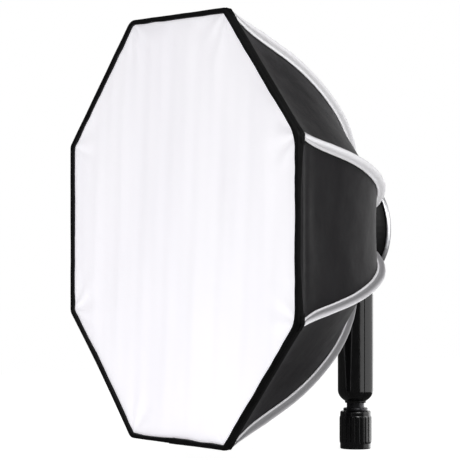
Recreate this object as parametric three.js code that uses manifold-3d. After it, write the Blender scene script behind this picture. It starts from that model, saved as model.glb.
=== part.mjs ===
// Octagonal studio softbox on a hand grip. Millimetres, +Z up, front faces -Y.
// Origin: centre of the stand socket's mouth, at the bottom of the lock knob.
import * as THREE from 'three';
import { mergeVertices } from 'three/addons/utils/BufferGeometryUtils.js';
import Module from 'manifold-3d';

const wasm = await Module();
wasm.setup();

// ---- driving dimensions ----
const RIBS = 8;
const STEP = (2 * Math.PI) / RIBS;
const HALF = STEP / 2;
const R_FLAT = 254; // half the width across the rim's flats
const AXIS_Z = 272.3; // height of the optical axis above the socket mouth
const FRONT_Y = -263.4; // front plane of the rim binding
const BINDING_T = 6; // rim binding, radial thickness
const BINDING_D = 12; // rim binding, depth
const DIFF_RECESS = 4; // diffuser behind the binding's front
const DIFF_T = 1.2;
const PANEL_T = 1.6;
const GAP = 0.3;
const PIVOT_R = 54.5; // rib pivots: radius about the optical axis
const PIVOT_Y = -17.5;
const ROD_R = 2.0;
const ROD_OFF = 5.6; // rod centre above the panel's crease
const ROD_OFF_FRONT = 4.1; // the same at the rim end, where the sleeve starts low
const SLEEVE_H = 11.4;
const SLEEVE_H_FRONT = 7;
const HUB_IN = 45;
const HUB_OUT = 58;
const FLANGE_R = 61;
const FLANGE_IN = 44;
const FLANGE_Y0 = 5.3;
const FLANGE_Y1 = 9;
const TOE_LEN = 11;
const TOE_R = 2.3;
const TOE_ANGLE = (21 * Math.PI) / 180;
const TILT_Z = 204; // tilt pivot height
const KNOB_R = 20.2;
const KNOB_BORE = 11.4;
const COLLET_R = 11;
const SOCKET_R = 8.1;
const GRIP_TOP = 193;

// crease of the shell under each rib: radius about the axis, depth behind the front plane
const CREASE = [
  [271.5, 9], [264.6, 17], [256.2, 28.4], [248.5, 40], [241.4, 52.4], [228.6, 77.6], [215.4, 103.4], [199.6, 129.8],
  [179.5, 157.8], [155.6, 185.2], [133, 205.4], [110, 220.6], [86.5, 231.2], [66.5, 236.9],
];

// ---- helpers ----
function solid(geo) {
  const g = geo.clone();
  for (const name of Object.keys(g.attributes)) if (name !== 'position') g.deleteAttribute(name);
  const m = mergeVertices(g, 1e-4);
  return new wasm.Manifold(new wasm.Mesh({
    numProp: 3,
    vertProperties: new Float32Array(m.attributes.position.array),
    triVerts: new Uint32Array(m.index.array),
  }));
}

// turns a mirrored mapping's faces back outwards
function flipped(g) {
  const ix = g.index.array;
  for (let i = 0; i < ix.length; i += 3) [ix[i], ix[i + 1]] = [ix[i + 1], ix[i]];
  return g;
}

function geometry(manifold) {
  const mesh = manifold.getMesh();
  const g = new THREE.BufferGeometry();
  const n = mesh.numProp;
  const p = new Float32Array((mesh.vertProperties.length / n) * 3);
  for (let i = 0; i < p.length / 3; i += 1) for (let k = 0; k < 3; k += 1) p[3 * i + k] = mesh.vertProperties[n * i + k];
  g.setAttribute('position', new THREE.BufferAttribute(p, 3));
  g.setIndex(new THREE.BufferAttribute(new Uint32Array(mesh.triVerts), 1));
  g.computeVertexNormals();
  return g;
}

const box = (x0, x1, y0, y1, z0, z1) => solid(new THREE.BoxGeometry(x1 - x0, y1 - y0, z1 - z0).translate((x0 + x1) / 2, (y0 + y1) / 2, (z0 + z1) / 2));

function lathe(points, segments) {
  return new THREE.LatheGeometry([...points, points[0]].map(([r, h]) => new THREE.Vector2(r, h)), segments);
}

// a turned ring about +Z: closed profile of [radius, height], listed anticlockwise in the (r, z) half-plane
const turnedZ = (points, segments) => solid(lathe(points, segments).rotateX(Math.PI / 2));
// a turned ring about the optical axis: profile of [radius, y]
const turnedY = (points, segments) => solid(lathe(points, segments).rotateY(Math.PI / segments)).translate([0, 0, AXIS_Z]);

const cylX = (r, x0, x1, y, z, n = 28) => solid(new THREE.CylinderGeometry(r, r, x1 - x0, n).rotateZ(Math.PI / 2).translate((x0 + x1) / 2, y, z));
const cylY = (r, y0, y1, x, z, n = 24) => solid(new THREE.CylinderGeometry(r, r, y1 - y0, n).translate(x, (y0 + y1) / 2, z));
const cylZ = (r, z0, z1, n = 40) => solid(new THREE.CylinderGeometry(r, r, z1 - z0, n).rotateX(Math.PI / 2).translate(0, 0, (z0 + z1) / 2));

// a rib-frame shape (radial = +X, depth = +Y, tangent = +Z) turned to rib k and lifted to the axis
const ribAngle = (k) => HALF + STEP * k;
const toRib = (m, k) => m.rotate([0, (-ribAngle(k) * 180) / Math.PI, 0]).translate([0, 0, AXIS_Z]);

const group = new THREE.Group();
group.name = 'studio_softbox';
const LOOK = {
  shell: [0x3b393d, 0.85, 0], sleeve: [0xc9c8ce, 0.6, 0], diffuser: [0xf8f6fc, 0.9, 0], steel: [0xb9bcc0, 0.35, 1],
  plastic: [0x17171a, 0.45, 0], gloss: [0x101013, 0.2, 0], alloy: [0x9fa2a6, 0.4, 1], hub: [0x1a1a1d, 0.35, 0.1],
};
function add(name, manifold, look) {
  const [color, roughness, metalness] = LOOK[look];
  const mesh = new THREE.Mesh(geometry(manifold), new THREE.MeshStandardMaterial({ color, roughness, metalness }));
  mesh.name = name;
  group.add(mesh);
}

// ---- crease curve with outward normals, resampled ----
const creaseCurve = new THREE.CatmullRomCurve3(CREASE.map(([r, w]) => new THREE.Vector3(r, w, 0)), false, 'centripetal');
function creaseAt(t) {
  const p = creaseCurve.getPoint(t);
  const d = creaseCurve.getTangent(t);
  const f = Math.min(1, Math.max(0, (p.y - 20) / 32));
  const ease = f * f * (3 - 2 * f);
  return {
    r: p.x, w: p.y, nr: d.y, nw: -d.x,
    off: ROD_OFF_FRONT + (ROD_OFF - ROD_OFF_FRONT) * ease,
    top: SLEEVE_H_FRONT + (SLEEVE_H - SLEEVE_H_FRONT) * ease,
  };
}

// ---- grip ----
const GRIP_X = 18.4;
const GRIP_Y = 20.5;
const GRIP_CORNER = 12;
const GRIP_BOTTOM = 56.7;
function gripOuter() {
  const n = 40;
  const levels = [0, 0.6, 1.8, 4, 7.5, 11.5, 15, GRIP_TOP - GRIP_BOTTOM - 3, GRIP_TOP - GRIP_BOTTOM];
  const g = new THREE.CylinderGeometry(1, 1, 1, n, levels.length - 1).rotateX(Math.PI / 2);
  const p = g.attributes.position;
  for (let i = 0; i < p.count; i += 1) {
    const x = p.getX(i), y = p.getY(i);
    const level = Math.round((p.getZ(i) + 0.5) * (levels.length - 1));
    const h = levels[level];
    const dome = h < 15 ? Math.sqrt(1 - ((15 - h) / 15) ** 2) : 1;
    const top = level === levels.length - 1 ? -1.2 : 0;
    const inset = (1 - dome) * 6.6;
    const a = GRIP_X - inset + top, b = GRIP_Y - inset + top, c = Math.max(3, GRIP_CORNER - inset);
    const rho = Math.hypot(x, y);
    let px = 0, py = 0;
    if (rho > 1e-6) {
      const ux = x / rho, uy = y / rho;
      // rounded rectangle met by a ray
      let lo = 0, hi = 60;
      for (let s = 0; s < 40; s += 1) {
        const m = (lo + hi) / 2;
        const dx = Math.max(Math.abs(ux * m) - (a - c), 0), dy = Math.max(Math.abs(uy * m) - (b - c), 0);
        if (Math.hypot(dx, dy) < c) lo = m; else hi = m;
      }
      px = ux * lo * rho;
      py = uy * lo * rho;
    }
    p.setXYZ(i, px, py, GRIP_BOTTOM + h);
  }
  return solid(g);
}
const YOKE_STEM = 8;
const STEM_BOTTOM = 90;
const SCREW_Z = [108, 172];
let gripBody = gripOuter()
  .subtract(cylZ(COLLET_R + GAP, 50, 85.6))
  .subtract(box(-YOKE_STEM - GAP, YOKE_STEM + GAP, -YOKE_STEM - GAP, YOKE_STEM + GAP, STEM_BOTTOM - GAP, 200));
add('grip_front_shell', gripBody.subtract(box(-40, 40, -GAP / 2, 40, 0, 220)), 'gloss');
let rear = gripBody.subtract(box(-40, 40, -40, GAP / 2, 0, 220));
for (const z of SCREW_Z) rear = rear.subtract(cylY(2.3, 5, 30, 0, z, 16)).subtract(cylY(4.1, 16.6, 30, 0, z, 20));
add('grip_rear_shell', rear, 'gloss');

let collet = cylZ(COLLET_R, 3.4, 85).subtract(cylZ(SOCKET_R, 0, 76, 32));
for (let i = 0; i < 2; i += 1) collet = collet.subtract(box(-0.7, 0.7, -20, 20, 0, 30).rotate([0, 0, 90 * i]));
add('collet_tube', collet, 'alloy');
add('thrust_washer', turnedZ([[COLLET_R + GAP, 47.1], [14.6, 47.1], [15.2, 47.7], [15.2, 49.9], [14.6, 50.5], [COLLET_R + GAP, 50.5]], 40), 'alloy');

let yoke = box(-YOKE_STEM, YOKE_STEM, -YOKE_STEM, YOKE_STEM, STEM_BOTTOM, 194)
  .add(box(-13, 13, -11, 11, GRIP_TOP + GAP, 196));
for (const s of [-1, 1]) {
  const x0 = s > 0 ? 6.3 : -11, x1 = s > 0 ? 11 : -6.3;
  yoke = yoke.add(box(x0, x1, -8.3, 8.3, 195, TILT_Z)).add(cylX(8.3, x0, x1, 0, TILT_Z));
}
yoke = yoke.subtract(cylX(3.1, -20, 20, 0, TILT_Z, 24));
for (const z of SCREW_Z) yoke = yoke.subtract(cylY(2.3, 1.5, 10, 0, z, 16));
add('tilt_yoke', yoke, 'alloy');
add('tilt_pivot_bolt', cylX(3, -21.5, 12, 0, TILT_Z, 24).add(cylX(5.5, 11.3, 15, 0, TILT_Z, 6)), 'steel');
SCREW_Z.forEach((z, i) => add(`grip_screw_${i + 1}`, cylY(2, 2, 18, 0, z, 16).add(cylY(3.8, 16.9, 19.3, 0, z, 20)), 'steel'));

// ---- lock knob ----
const FLUTES = 20;
function flutedBarrel(z0, z1) {
  const pts = [];
  const n = FLUTES * 4;
  for (let i = 0; i < n; i += 1) {
    const a = (2 * Math.PI * i) / n;
    const r = KNOB_R - 1.1 * (1 - Math.abs(Math.sin((a * FLUTES) / 2))) ** 1.3;
    pts.push(new THREE.Vector2(r * Math.cos(a), r * Math.sin(a)));
  }
  return solid(new THREE.ExtrudeGeometry(new THREE.Shape(pts), { depth: z1 - z0, bevelEnabled: false, steps: 1 }).translate(0, 0, z0));
}
let knob = flutedBarrel(7, 40.7)
  .add(turnedZ([[8.9, 0], [18.4, 0], [19.2, 0.8], [19.2, 8], [8.9, 8]], 36))
  .add(turnedZ([[8.9, 40], [19.2, 40], [19.2, 45.4], [18.2, 46.8], [8.9, 46.8]], 36))
  .subtract(cylZ(KNOB_BORE, 3.1, 60))
  .subtract(cylZ(8.9, -5, 60));
add('lock_knob', knob, 'gloss');

// ---- tilt lever, on the far side of the yoke ----
let lever = cylX(8, -24, -11.3, 0, TILT_Z)
  .add(box(-24, -19.4, -5.5, 5.5, TILT_Z - 38, TILT_Z))
  .add(cylX(5.5, -24, -19.4, 0, TILT_Z - 38, 20))
  .subtract(cylX(3.1, -21.8, 0, 0, TILT_Z, 24));
add('tilt_lever', lever, 'gloss');

// ---- hub ----
const wireGroove = solid(new THREE.TorusGeometry(PIVOT_R, 1.4, 6, 48).rotateX(Math.PI / 2)).translate([0, PIVOT_Y, AXIS_Z]);
const ribSlot = (r0, r1, y0, y1, half) => box(r0, r1, y0, y1, -half, half);
let hubFront = turnedY([[HUB_IN, -27.5], [HUB_OUT - 1, -27.5], [HUB_OUT, -26.5], [HUB_OUT, PIVOT_Y - GAP / 2], [HUB_IN, PIVOT_Y - GAP / 2]], 48).subtract(wireGroove);
let hubRear = turnedY([[HUB_IN, PIVOT_Y + GAP / 2], [HUB_OUT, PIVOT_Y + GAP / 2], [HUB_OUT, 5], [HUB_IN, 5]], 48)
  .add(box(-6, 6, -7.6, 5, TILT_Z, AXIS_Z - HUB_OUT + 2))
  .add(cylX(7.6, -6, 6, 0, TILT_Z))
  .subtract(cylX(3.1, -20, 20, 0, TILT_Z, 24))
  .subtract(wireGroove);
for (let k = 0; k < RIBS; k += 1) {
  hubFront = hubFront
    .subtract(toRib(ribSlot(40, 62, -24.4, 0, 4.5), k))
    .subtract(toRib(ribSlot(50.5, 62, -30, 0, 4.5), k));
  hubRear = hubRear.subtract(toRib(ribSlot(40, 62, -20, -7.5, 4.5), k));
}
for (let i = 0; i < 4; i += 1) {
  const a = (i * Math.PI) / 2;
  hubRear = hubRear.subtract(cylY(1.7, -6, 10, 52.5 * Math.cos(a), AXIS_Z + 52.5 * Math.sin(a), 12));
}
add('hub_front_ring', hubFront, 'hub');
add('hub_rear_ring', hubRear, 'hub');
let flange = turnedY([[FLANGE_IN, FLANGE_Y0], [FLANGE_R, FLANGE_Y0], [FLANGE_R, FLANGE_Y1 - 0.8], [FLANGE_R - 0.8, FLANGE_Y1], [FLANGE_IN, FLANGE_Y1]], 48);
for (let i = 0; i < 4; i += 1) {
  const a = (i * Math.PI) / 2, x = 52.5 * Math.cos(a), z = AXIS_Z + 52.5 * Math.sin(a);
  flange = flange.subtract(cylY(1.7, 0, 12, x, z, 12)).subtract(cylY(3.2, 7, 12, x, z, 16));
  add(`hub_screw_${i + 1}`, cylY(1.4, -5, 8, x, z, 12).add(cylY(2.9, 7.2, 8.8, x, z, 16)), 'steel');
}
add('hub_rear_flange', flange, 'alloy');
add('rib_pivot_wire', solid(new THREE.TorusGeometry(PIVOT_R, 1, 6, 48).rotateX(Math.PI / 2)).translate([0, PIVOT_Y, AXIS_Z]), 'steel');

// ---- slider ring ----
const SLIDER_Y = PIVOT_Y - TOE_LEN * Math.sin(TOE_ANGLE);
add('slider_ring', turnedY([
  [38, SLIDER_Y - 5.4], [44.6, SLIDER_Y - 5.4], [44.6, SLIDER_Y - TOE_R - 0.35], [40.8, SLIDER_Y - TOE_R - 0.35],
  [40.8, SLIDER_Y + TOE_R + 0.35], [44.6, SLIDER_Y + TOE_R + 0.35], [44.6, SLIDER_Y + 5.4], [38, SLIDER_Y + 5.4],
], 40), 'plastic');

// ---- ribs ----
// a tube that follows the crease: ring(i, j) gives [along, normal offset, tangent offset]
function ribSweep(stations, sides, section) {
  const n = stations.length - 1;
  const g = new THREE.CylinderGeometry(1, 1, 1, sides, n);
  const p = g.attributes.position;
  for (let i = 0; i < p.count; i += 1) {
    const x = p.getX(i), z = p.getZ(i);
    const s = stations[Math.round((0.5 - p.getY(i)) * n)];
    const rho = Math.hypot(x, z);
    const [on, ot] = rho > 1e-6 ? section(Math.atan2(z, x), s) : section(null, s);
    p.setXYZ(i, s.r + s.nr * on, s.w + s.nw * on + FRONT_Y, ot);
  }
  return solid(flipped(g));
}
const sleeveStations = [0.115, 0.15, 0.195, 0.26, 0.34, 0.43, 0.52, 0.61, 0.7, 0.79, 0.88, 0.965].map(creaseAt);
function sleeveSection(a, s) {
  if (a === null) return [s.off, 0];
  const c = Math.cos(a), t = Math.sin(a);
  const low = PANEL_T / 2 + GAP + 0.25;
  const on = c > 0 ? s.off + (s.top - s.off) * c : s.off + (s.off - low) * c;
  return [on, 3.6 * t * (c > 0 ? 1 - 0.25 * c : 1 + 0.1 * c)];
}
const boreSection = (a, s) => (a === null ? [s.off, 0] : [s.off + (ROD_R + GAP + 0.1) * Math.cos(a), (ROD_R + GAP + 0.1) * Math.sin(a)]);
const rodSection = (a, s) => (a === null ? [s.off, 0] : [s.off + ROD_R * Math.cos(a), ROD_R * Math.sin(a)]);
const first = sleeveStations[0], last = sleeveStations[sleeveStations.length - 1];
const ext = (s, d) => ({ ...s, r: s.r + s.nw * d, w: s.w - s.nr * d });
const boreStations = [ext(first, 3), ...sleeveStations.slice(1, -1), ext(last, -3)];
boreStations.splice(1, 0, first);
boreStations.splice(boreStations.length - 1, 0, last);
// the rod runs on from the sleeve's root, straight into the knuckle
const rootR = last.r + last.nr * ROD_OFF, rootY = last.w + last.nw * ROD_OFF + FRONT_Y;
const rodStations = [ext(first, 4.5), first, ...sleeveStations.slice(1, -1), last];

const rootDir = new THREE.Vector2(rootR - PIVOT_R, rootY - PIVOT_Y);
const rootLen = rootDir.length();
rootDir.normalize();
const rootAngle = Math.atan2(rootDir.y, rootDir.x);
const ROD_START = 6.4;
function rodSolid() {
  // the end stations carry on along the straight line to the knuckle
  const straight = (d) => {
    const r = PIVOT_R + rootDir.x * d, y = PIVOT_Y + rootDir.y * d;
    const nr = -rootDir.y, nw = rootDir.x;
    return { r: r - nr * ROD_OFF, w: y - FRONT_Y - nw * ROD_OFF, nr, nw, off: ROD_OFF };
  };
  return ribSweep([...rodStations, straight(rootLen - 2.5), straight(ROD_START)], 6, rodSection);
}
function knuckleSolid() {
  const arm = solid(new THREE.CylinderGeometry(3.9, 3.9, 15, 12).rotateZ(Math.PI / 2).translate(7.5, 0, 0)).rotate([0, 0, (rootAngle * 180) / Math.PI]);
  const eye = solid(new THREE.CylinderGeometry(4.7, 4.7, 7.6, 14).rotateX(Math.PI / 2));
  const toeAt = [-TOE_LEN * Math.cos(TOE_ANGLE), -TOE_LEN * Math.sin(TOE_ANGLE)];
  const toeDeg = 180 + (TOE_ANGLE * 180) / Math.PI;
  const neck = solid(new THREE.CylinderGeometry(1.7, 1.7, TOE_LEN, 6).rotateZ(Math.PI / 2).translate(TOE_LEN / 2, 0, 0)).rotate([0, 0, toeDeg]);
  const ball = solid(new THREE.SphereGeometry(TOE_R, 8, 6)).translate([toeAt[0], toeAt[1], 0]);
  const socket = solid(new THREE.CylinderGeometry(ROD_R + GAP + 0.15, ROD_R + GAP + 0.15, 12, 8).rotateZ(Math.PI / 2).translate(12, 0, 0)).rotate([0, 0, (rootAngle * 180) / Math.PI]);
  const hole = solid(new THREE.CylinderGeometry(1.35, 1.35, 12, 8).rotateX(Math.PI / 2));
  return arm.add(eye).add(neck).add(ball).subtract(socket).subtract(hole).translate([PIVOT_R, PIVOT_Y, 0]);
}

// ---- shell panels, each centred on its rib, with the rim binding at the front ----
const panelStations = [0, 0.06, 0.14, 0.24, 0.34, 0.45, 0.56, 0.67, 0.78, 0.89, 1].map(creaseAt);
const SAG = (w) => 3.2 * Math.sin(Math.PI * Math.min(1, Math.max(0, (w - 14) / 224))) ** 0.8;
function panelSolid() {
  const n = panelStations.length - 1;
  const across = 8;
  const g = new THREE.BoxGeometry(1, 1, 1, n, 1, across);
  const p = g.attributes.position;
  for (let i = 0; i < p.count; i += 1) {
    const s = panelStations[Math.round((p.getX(i) + 0.5) * n)];
    const off = p.getY(i) > 0 ? PANEL_T / 2 : -PANEL_T / 2;
    let tau = p.getZ(i) * 2;
    const side = Math.sign(tau);
    const f = Math.abs(tau);
    const half = s.r * Math.sin(HALF);
    // outward normal of the gore, blended to the rib's own at the crease
    const gn = HALF * Math.min(1, f * 3);
    const sag = SAG(s.w) * Math.sin((Math.PI / 2) * f);
    const h = Math.min(f * half, half - GAP / 2);
    const push = off - sag;
    const r = s.r - h * Math.sin(HALF) + s.nr * push * Math.cos(gn);
    const t = side * (h * Math.cos(HALF) + s.nr * push * Math.sin(gn) * (f > 0.99 ? 0 : 1));
    const tEdge = f > 0.99 ? side * (r * Math.tan(HALF) - GAP / 2 / Math.cos(HALF)) : t;
    p.setXYZ(i, r, s.w + s.nw * push + FRONT_Y, f > 0.99 ? tEdge : t);
  }
  return solid(flipped(g));
}
function bindingSolid() {
  const outer = R_FLAT, inner = R_FLAT - BINDING_T;
  // in the rib frame, the corner is on +X and each edge runs to the gore's middle
  const corner = (a) => [a / Math.cos(HALF), 0];
  const mid = (a, s) => {
    const x = a * Math.cos(HALF), y = s * (a * Math.sin(HALF));
    const len = GAP / 2;
    return [x + Math.sin(HALF) * len, y - s * Math.cos(HALF) * len];
  };
  const pts = [corner(outer), mid(outer, 1), mid(inner, 1), corner(inner), mid(inner, -1), mid(outer, -1)];
  const shape = new THREE.Shape(pts.map(([x, y]) => new THREE.Vector2(x, y)));
  const g = new THREE.ExtrudeGeometry(shape, { depth: BINDING_D, bevelEnabled: false, steps: 1 });
  // shape XY -> radial X, tangent Z; extrusion -> depth Y
  const p = g.attributes.position;
  for (let i = 0; i < p.count; i += 1) p.setXYZ(i, p.getX(i), FRONT_Y + BINDING_D - p.getZ(i), p.getY(i));
  return solid(g);
}
function diffuserSolid() {
  const a = R_FLAT - BINDING_T - GAP;
  const k = GAP / 2;
  const tipx = k / Math.sin(HALF);
  const mid = (s) => [a * Math.cos(HALF) + Math.sin(HALF) * k, s * (a * Math.sin(HALF) - Math.cos(HALF) * k)];
  const pts = [[tipx, 0], mid(-1), [a / Math.cos(HALF), 0], mid(1)];
  const g = new THREE.ExtrudeGeometry(new THREE.Shape(pts.map(([x, y]) => new THREE.Vector2(x, y))), { depth: DIFF_T, bevelEnabled: false, steps: 1 });
  const p = g.attributes.position;
  for (let i = 0; i < p.count; i += 1) p.setXYZ(i, p.getX(i), FRONT_Y + DIFF_RECESS + DIFF_T - p.getZ(i), p.getY(i));
  return solid(g);
}

const rod = rodSolid();
const sleeve = ribSweep(sleeveStations, 8, sleeveSection).subtract(ribSweep(boreStations, 6, boreSection));
const knuckle = knuckleSolid();
const shell = panelSolid().add(bindingSolid());
const sector = diffuserSolid();
for (let k = 0; k < RIBS; k += 1) {
  add(`rib_rod_${k + 1}`, toRib(rod, k), 'steel');
  add(`rib_knuckle_${k + 1}`, toRib(knuckle, k), 'plastic');
  add(`rib_sleeve_${k + 1}`, toRib(sleeve, k), 'sleeve');
  add(`shell_panel_${k + 1}`, toRib(shell, k), 'shell');
  add(`diffuser_sector_${k + 1}`, toRib(sector, k), 'diffuser');
}

export default group;
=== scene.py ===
import math

import bpy
import numpy as np
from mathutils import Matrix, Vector


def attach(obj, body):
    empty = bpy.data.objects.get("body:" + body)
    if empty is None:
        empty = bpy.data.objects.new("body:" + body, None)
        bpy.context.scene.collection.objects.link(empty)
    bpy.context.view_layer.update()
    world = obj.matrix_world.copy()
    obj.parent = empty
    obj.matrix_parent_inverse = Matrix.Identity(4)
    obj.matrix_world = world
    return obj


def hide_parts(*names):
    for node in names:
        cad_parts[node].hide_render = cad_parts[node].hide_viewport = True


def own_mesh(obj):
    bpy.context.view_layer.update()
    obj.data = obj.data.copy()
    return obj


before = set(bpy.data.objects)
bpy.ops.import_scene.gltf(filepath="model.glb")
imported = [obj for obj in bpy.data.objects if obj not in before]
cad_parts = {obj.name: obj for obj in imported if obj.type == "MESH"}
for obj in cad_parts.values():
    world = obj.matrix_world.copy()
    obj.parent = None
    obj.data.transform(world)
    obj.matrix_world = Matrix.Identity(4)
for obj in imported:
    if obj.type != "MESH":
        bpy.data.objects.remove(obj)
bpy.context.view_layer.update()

# ---------------------------------------------------------------- sizes, mm
MM = 0.001
AX = 272.3       # height of the optical axis
FY = -263.4      # front plane
R = 254.0        # half the width across the rim's flats
HALF = math.pi / 8
BIND_T, BIND_D = 6.0, 12.0
RECESS = 4.0
SIN, COS, TAN = math.sin(HALF), math.cos(HALF), math.tan(HALF)
RIBS = range(1, 9)


def phi(k):
    return HALF + 2 * HALF * (k - 1)


def to_world(r, w, t, a):
    """Rib-frame coordinates (radius, depth behind the front, tangent) to the row frame, mm."""
    return np.stack([r * np.cos(a) - t * np.sin(a), FY + w, AX + r * np.sin(a) + t * np.cos(a)], -1)


def smooth(x, a, b):
    f = np.clip((x - a) / (b - a), 0, 1)
    return f * f * (3 - 2 * f)


def wave_noise(p, scale, seed, octaves=3):
    """Smooth repeatable noise from sums of sines, about -1..1."""
    rng = np.random.default_rng(seed)
    out, amp, total = 0, 1.0, 0
    for _ in range(octaves):
        for _ in range(4):
            d = rng.normal(size=3)
            d /= np.linalg.norm(d)
            out = out + amp * np.sin((p @ d) * (2 * math.pi / scale) * rng.uniform(0.7, 1.4) + rng.uniform(0, 6.28))
        total += amp * 2.0
        amp *= 0.5
        scale *= 0.5
    return out / total


# ---------------------------------------------------------------- mesh helpers
def build(name, verts, faces, mats, mat_ids=None, loop_normals=None, uv=None, attrs=None, shade=True):
    me = bpy.data.meshes.new(name)
    me.from_pydata((np.asarray(verts, float) * MM).tolist(), [], [list(map(int, f)) for f in faces])
    for m in mats:
        me.materials.append(m)
    if mat_ids is not None:
        me.polygons.foreach_set("material_index", np.asarray(mat_ids, np.int32))
    if shade:
        me.polygons.foreach_set("use_smooth", np.ones(len(me.polygons), bool))
    lv = np.zeros(len(me.loops), np.int32)
    me.loops.foreach_get("vertex_index", lv)
    if uv is not None:
        layer = me.uv_layers.new(name="UVMap")
        layer.data.foreach_set("uv", np.asarray(uv, np.float32)[lv].ravel())
    for key, values in (attrs or {}).items():
        a = me.attributes.new(key, "FLOAT", "POINT")
        a.data.foreach_set("value", np.asarray(values, np.float32))
    me.validate()
    me.update()
    if loop_normals is not None and len(loop_normals) == len(me.loops):
        me.normals_split_custom_set([tuple(map(float, n)) for n in loop_normals])
    o = bpy.data.objects.new(name, me)
    bpy.context.scene.collection.objects.link(o)
    return o


def grid_normals(P):
    du = np.gradient(P, axis=0)
    dv = np.gradient(P, axis=1)
    n = np.cross(du, dv)
    return n / np.maximum(np.linalg.norm(n, axis=-1, keepdims=True), 1e-9)


class Parts:
    """Collects patches into one mesh with its own loop normals."""

    def __init__(self):
        self.v, self.f, self.m, self.n, self.uv, self.at = [], [], [], [], [], {}
        self.count = 0

    def add(self, verts, faces, face_normals, mat=0, uv=None, attrs=None):
        verts = np.asarray(verts, float).reshape(-1, 3)
        base = self.count
        self.v.append(verts)
        self.count += len(verts)
        self.uv.append(np.zeros((len(verts), 2)) if uv is None else np.asarray(uv, float).reshape(-1, 2))
        for key in set(self.at) | set(attrs or {}):
            a = self.at.setdefault(key, [])
            have = sum(len(x) for x in a)
            if have < base:
                a.append(np.zeros(base - have))
            a.append(np.zeros(len(verts)) if key not in (attrs or {}) else np.asarray(attrs[key], float).ravel())
        for i, f in enumerate(faces):
            self.f.append([base + int(x) for x in f])
            self.m.append(mat if np.isscalar(mat) else mat[i])
            self.n.extend(face_normals[i])

    def sheet(self, P, N, thick, mats=(0, 1), uv=None, attrs=None):
        """A closed thin sheet around the grid P with normals N."""
        n, m = P.shape[:2]
        idx = np.arange(n * m).reshape(n, m)
        a, b, c, d = idx[:-1, :-1].ravel(), idx[1:, :-1].ravel(), idx[1:, 1:].ravel(), idx[:-1, 1:].ravel()
        quads = np.stack([a, b, c, d], 1)
        flat, nf = P.reshape(-1, 3), N.reshape(-1, 3)
        g = np.cross(flat[quads[:, 1]] - flat[quads[:, 0]], flat[quads[:, 3]] - flat[quads[:, 0]])
        if (g * nf[quads[:, 0]]).sum() < 0:
            quads = quads[:, ::-1]
        top, low = flat + nf * thick / 2, flat - nf * thick / 2
        verts = np.concatenate([top, low])
        k = n * m
        faces = quads.tolist() + (quads[:, ::-1] + k).tolist()
        normals = [[nf[i] for i in q] for q in quads] + [[-nf[i] for i in q[::-1]] for q in quads]
        border = [(idx[i, 0], idx[i + 1, 0]) for i in range(n - 1)] + [(idx[i + 1, -1], idx[i, -1]) for i in range(n - 1)] \
            + [(idx[0, j + 1], idx[0, j]) for j in range(m - 1)] + [(idx[-1, j], idx[-1, j + 1]) for j in range(m - 1)]
        centre_face = {}
        for q in quads.tolist():
            for i in range(4):
                centre_face[(q[i], q[(i + 1) % 4])] = True
        for s, e in border:
            s, e = int(s), int(e)
            if (s, e) in centre_face:
                f = [e, s, s + k, e + k]
            else:
                f = [s, e, e + k, s + k]
            p = verts[f]
            fn = np.cross(p[1] - p[0], p[3] - p[0])
            fn = fn / max(np.linalg.norm(fn), 1e-9)
            faces.append(f)
            normals.append([fn] * 4)
        mat = [mats[0]] * len(quads) + [mats[1]] * len(quads) + [mats[0]] * len(border)
        both = lambda x: None if x is None else np.concatenate([np.asarray(x).reshape(k, -1)] * 2)
        self.add(verts, faces, normals, mat, both(uv), None if attrs is None else {q: np.concatenate([np.asarray(v).ravel()] * 2) for q, v in attrs.items()})

    def tube(self, P, mat=0, closed_caps=True, uv=None, attrs=None, outward=None):
        """A tube from rings P[i, j] (j closed), with smooth normals; caps are flat fans."""
        n, m = P.shape[:2]
        Q = np.concatenate([P[:, -1:], P, P[:, :1]], 1)
        N = grid_normals(Q)[:, 1:-1]
        mid = P.mean(1, keepdims=True)
        if ((P - mid) * N).sum() < 0:
            N = -N
        idx = np.arange(n * m).reshape(n, m)
        nxt = np.roll(idx, -1, axis=1)
        quads = np.stack([idx[:-1].ravel(), idx[1:].ravel(), nxt[1:].ravel(), nxt[:-1].ravel()], 1)
        flat, nf = P.reshape(-1, 3), N.reshape(-1, 3)
        g = np.cross(flat[quads[:, 1]] - flat[quads[:, 0]], flat[quads[:, 3]] - flat[quads[:, 0]])
        if (g * nf[quads[:, 0]]).sum() < 0:
            quads = quads[:, ::-1]
        faces = quads.tolist()
        normals = [[nf[i] for i in q] for q in quads]
        verts = flat
        if closed_caps:
            for row, ref in ((0, 1), (n - 1, n - 2)):
                ring = idx[row]
                out = P[row].mean(0) - P[ref].mean(0)
                p = P[row]
                fn = np.cross(p[1] - p[0], p[m // 3] - p[0])
                order = ring if fn @ out > 0 else ring[::-1]
                fn = out / max(np.linalg.norm(out), 1e-9)
                faces.append(order.tolist())
                normals.append([fn] * m)
        self.add(verts, faces, normals, mat, uv, attrs)

    def make(self, name, mats):
        at = {}
        for key, arrs in self.at.items():
            have = np.concatenate(arrs)
            at[key] = np.concatenate([have, np.zeros(self.count - len(have))])
        return build(name, np.concatenate(self.v), self.f, mats, self.m, self.n, np.concatenate(self.uv), at)


def smooth_closed(name, rings, mats, caps=True, bevel=None):
    p = Parts()
    p.tube(rings, closed_caps=caps)
    o = p.make(name, mats)
    return o


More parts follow.
